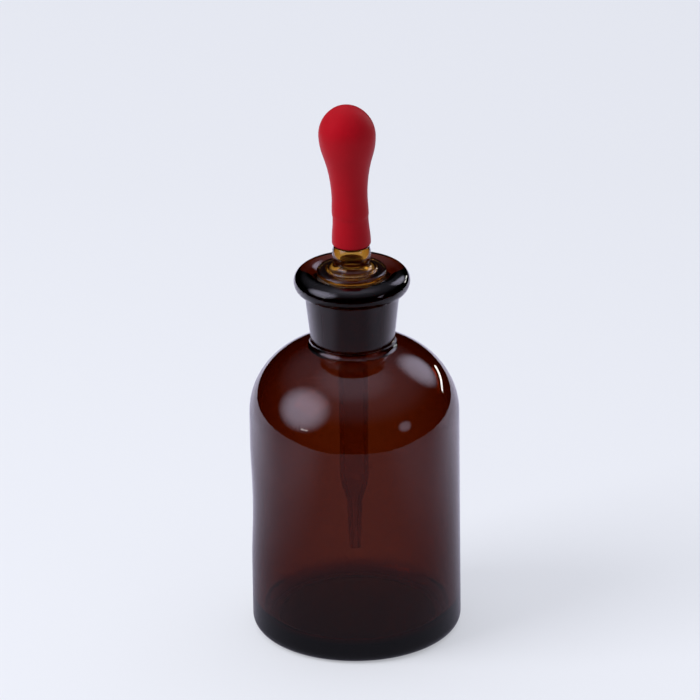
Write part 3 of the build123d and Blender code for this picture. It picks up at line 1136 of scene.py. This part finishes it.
def together(tree: bpy.types.NodeTree, place: bpy.types.NodeSocket,
             lights: tuple[Fade | Glow, ...]) -> bpy.types.Node:
    """Adds up what fades and glows give at a place or along a direction.

    Args:
        tree: Tree that gets the nodes.
        place: The place or the direction.
        lights: The fades and glows.

    Returns:
        The node that gives the sum.
    """
    level, *others = (light.at(tree, place) for light in lights)
    for other in others:
        level = add(tree, MATH, (level, other), operation="ADD")
    return level


@dataclass
class Studio:
    """Pale table, soft lamps and the dark room behind the camera."""

    paper: str = "e9ebf2"
    sky: str = "e9ecf4"
    mirrored: str = "e2dff8"         # the cooler light that reflections show
    painted_table_glow: float = 0.545         # painted glow that the table gives by itself, painted light that keeps its shadow faint
    shade_core: float = 17.0         # millimetres round the axis where the painted glow is off: painted shade under the base
    shade_rim: float = 22.5          # and beyond which the painted glow is full
    albedo: float = 0.42             # share of the lamps' light that the table gives back
    table_size: float = 4.0          # metres
    sheet_rise: float = 0.05         # millimetres from the table up to the sheet of painted reflection
    sheet_front: float = 130.0       # millimetres that it reaches towards the camera
    sheet_back: float = 500.0        # and away from it
    sheet_edge: float = 4.0          # millimetres over which it ends

    # Shares of the table's painted glow, then the levels of its painted reflection, what matt faces get from
    # all round, what is seen through glass, and what glass mirrors under the glows
    # Painted light: the table's glow is a little brighter towards the camera than behind
    painted_glow_drift: Fade = Fade(Axis.BACK, -0.2, 0.25, 1.07, 0.93, Easing.EVEN)
    # Painted reflection of the table: dim towards the camera, bright behind, brighter out to the left and a
    # little to the right
    painted_reflection_levels: tuple[Fade, ...] = (
        Fade(Axis.BACK, -0.03, 0.09, 0.27, 0.95),
        Fade(Axis.RIGHT, -0.055, -0.11, 0.0, 0.45),
        Fade(Axis.RIGHT, 0.055, 0.11, 0.0, 0.25),
    )
    dome: tuple[Fade, ...] = (
        Fade(Axis.BACK, -0.3, 0.7, 0.25, 1.1),
        Fade(Axis.UP, 0.4, 0.9, 0.0, 0.5),
    )
    seen_through: Fade = Fade(Axis.BACK, -0.3, 0.2, 0.06, 1.0)
    ceiling: Fade = Fade(Axis.UP, 0.3, 0.9, 0.0, 0.3)
    boxes: tuple[SoftBox, ...] = (
        SoftBox("key_left", -70, 42, 1.4, 0.8, 0.8, 7.2, mirrored=False),
        SoftBox("fill_right", 60, 45, 1.6, 0.7, 0.7, 0.4, mirrored=False),
        SoftBox("strip_back_right", 137, 7.5, 1.0, 0.42, 0.05, 9.0),
        SoftBox("strip_left", -55, 5.5, 1.0, 0.14, 0.03, 6.0),
    )
    glows: tuple[Glow, ...] = (
        Glow(-68, 30, 4, 34, 4.2),
        Glow(57, 9, 3, 9, 1.8),
        Glow(134, 31, 4, 20, 3.0),
        Glow(0, 90, 6, 36, 0.6),
    )

    def _plane(self, name: str, level: float, material: bpy.types.Material) -> bpy.types.Object:
        """Lays a square plane as part of the stage.

        Args:
            name: What it is.
            level: Its height, in metres.
            material: Its material.

        Returns:
            The plane.
        """
        half = self.table_size / 2
        mesh = bpy.data.meshes.new(name)
        corners = [(-half, -half, level), (half, -half, level), (half, half, level), (-half, half, level)]
        mesh.from_pydata(corners, [], [(0, 1, 2, 3)])
        mesh.materials.append(material)
        plane = bpy.data.objects.new(name, mesh)
        bpy.context.scene.collection.objects.link(plane)
        return plane

    def table(self) -> None:
        """Lays the pale table."""
        # Smooth white card, dead matt, with the faintest cool cast, and a painted glow of its own
        card = bpy.data.materials.new("matt_white_card")
        tree = emptied(card)
        paper = linear(self.paper)
        given_back = (*(self.albedo * channel for channel in paper), 1.0)
        skin = add(tree, "ShaderNodeBsdfDiffuse", {"Color": given_back})
        place = add(tree, "ShaderNodeTexCoord").outputs["Object"]
        away = add(tree, "ShaderNodeVectorMath", (place,), operation="LENGTH").outputs["Value"]
        # Painted shade: the glow is off under the bottle's base and fades in round it
        clear = add(tree, "ShaderNodeMapRange", {
            "Value": away, "From Min": self.shade_core * MM, "From Max": self.shade_rim * MM,
            "To Min": 0.0, "To Max": self.painted_table_glow,
        }, interpolation_type=Easing.SOFT.value)
        # Painted light: the table's own glow keeps its shadow faint, and is a little brighter towards the
        # camera
        own = add(tree, MATH, (clear, self.painted_glow_drift.at(tree, place)), operation="MULTIPLY")
        glow = add(tree, "ShaderNodeEmission", {"Color": (*paper, 1.0), "Strength": own})
        both = add(tree, "ShaderNodeAddShader", (skin, glow))
        add(tree, "ShaderNodeOutputMaterial", {"Surface": both})
        self._plane("table", 0.0, card)

    def sheet(self) -> None:
        """Lays a painted reflection of the table: dim towards the camera, white behind, black beyond."""
        # No surface of its own: painted light that only reflections in glass and rubber show, in place of
        # the table
        light = bpy.data.materials.new("painted_table_reflection")
        tree = emptied(light)
        place = add(tree, "ShaderNodeTexCoord").outputs["Object"]
        reach = (self.sheet_front + self.sheet_back) / 2
        centre = (0.0, (self.sheet_back - reach) * MM, 0.0)
        away = add(tree, "ShaderNodeVectorMath", (place, centre), operation="DISTANCE").outputs["Value"]
        inside = add(tree, "ShaderNodeMapRange", {
            "Value": away, "From Min": reach * MM, "From Max": (reach + self.sheet_edge) * MM,
            "To Min": 1.0, "To Max": 0.0,
        })
        level = together(tree, place, self.painted_reflection_levels)
        strength = add(tree, MATH, (inside, level), operation="MULTIPLY")
        glow = add(tree, "ShaderNodeEmission", {
            "Color": (*linear(self.mirrored), 1.0), "Strength": strength,
        })
        add(tree, "ShaderNodeOutputMaterial", {"Surface": glow})
        sheet = self._plane("painted_table_reflection", self.sheet_rise * MM, light)
        for ray in ("camera", "diffuse", "transmission", "shadow"):
            setattr(sheet, f"visible_{ray}", False)

    def world(self) -> None:
        """Surrounds the table: white behind, a dim room behind the camera, soft lamps overhead."""
        world = bpy.data.worlds.new("studio")
        bpy.context.scene.world = world
        tree = emptied(world)
        path = add(tree, "ShaderNodeLightPath").outputs
        way = add(tree, "ShaderNodeTexCoord").outputs["Generated"]

        # What matt faces get, then what is seen in reflections, through glass and by the camera itself
        levels = (
            (self.sky, together(tree, way, self.dome)),
            (self.mirrored, together(tree, way, (self.ceiling, *self.glows))),
            (self.sky, self.seen_through.at(tree, way)),
            (self.sky, 1.0),
        )
        shown, *rooms = (
            add(tree, "ShaderNodeBackground", {"Color": (*linear(tint), 1.0), "Strength": level})
            for tint, level in levels
        )
        for ray, room in zip(("Is Glossy Ray", "Is Transmission Ray", "Is Camera Ray"), rooms):
            shown = add(tree, "ShaderNodeMixShader", (path[ray], shown, room))
        add(tree, "ShaderNodeOutputWorld", {"Surface": shown})

    def build(self, aim: Vector) -> None:
        """Sets up the table, its painted reflection, the lamps and the world.

        Args:
            aim: Where the lamps point, in metres.
        """
        self.table()
        self.sheet()
        self.world()
        for box in self.boxes:
            box.build(aim)
        bpy.context.scene.view_settings.view_transform = "Standard"


@dataclass
class Viewpoint:
    """The photograph's camera, which looks down on the bottle and is turned a little about its own aim.

    Args:
        elevation: Angle at which it looks down on the aim, in degrees.
        distance: From the aim to the camera, in metres.
        aim_level: Height of the aim on the bottle's axis, in millimetres.
        frame_side: Side of the square picture, in pixels.
        focal_pixels: Focal length, in pixels of that picture.
        aim_pixel: Where the aim is in that picture, from its top left corner.
        roll: How far the bottle leans to the left in the picture, in degrees.
        sensor: Width of the camera's sensor, in millimetres.
    """

    elevation: float = 24.5
    distance: float = 1.5
    aim_level: float = 45.8
    frame_side: float = 700.0
    focal_pixels: float = 6997.0
    aim_pixel: tuple[float, float] = (354.6, 426.85)
    roll: float = 0.75
    sensor: float = 36.0

    def build(self) -> None:
        """Sets up the camera with the aim at its place in the picture."""
        camera = bpy.data.cameras.new("camera")
        camera.sensor_width = self.sensor
        camera.lens = self.sensor * self.focal_pixels / self.frame_side
        camera.clip_start, camera.clip_end = 0.05, 20.0
        holder = bpy.data.objects.new("camera", camera)
        bpy.context.scene.collection.objects.link(holder)
        aim = Vector((0, 0, self.aim_level * MM))
        holder.location = aim + direction(0.0, self.elevation) * self.distance
        half = self.frame_side / 2
        right = math.atan((self.aim_pixel[0] - half) / self.focal_pixels)
        down = math.atan((self.aim_pixel[1] - half) / self.focal_pixels)
        level = Matrix.Rotation(math.radians(90 - self.elevation), 4, "X")
        swung = Matrix.Rotation(down, 4, "X") @ Matrix.Rotation(right, 4, "Y")
        rolled = Matrix.Rotation(math.radians(-self.roll), 4, "Z")
        holder.rotation_euler = (level @ rolled @ swung).to_euler()
        bpy.context.scene.camera = holder


def report(piece: bpy.types.Object, node: str) -> None:
    """Logs a piece's size beside that of the CAD node that it stands for.

    Args:
        piece: The finished piece.
        node: Name of the node.
    """
    low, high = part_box(node)
    places = [vertex.co for vertex in piece.data.vertices]
    size = [max(p[axis] for p in places) - min(p[axis] for p in places) for axis in range(3)]
    LOG.info(
        "%s: %d faces, %s mm, node %s mm, %.0f mm3", piece.name, len(piece.data.polygons),
        [round(length / MM, 2) for length in size], [round(length / MM, 2) for length in high - low],
        signed_volume(piece.data) / MM**3,
    )


def main() -> None:
    """Builds the camera, the three pieces and the studio, in that order."""
    logging.basicConfig(level=logging.INFO, format="%(name)s: %(message)s")
    viewpoint = Viewpoint()
    viewpoint.build()
    tree = lathe_tree()
    bottle = Bottle()
    dropper = Dropper(bottle.joint())
    report(bottle.build(tree), "bottle")
    report(dropper.build(tree), "dropper_pipette")
    report(Teat(dropper).build(tree), "rubber_teat")
    Studio().build(Vector((0, 0, viewpoint.aim_level * MM)))


if __name__ == "__main__":
    main()
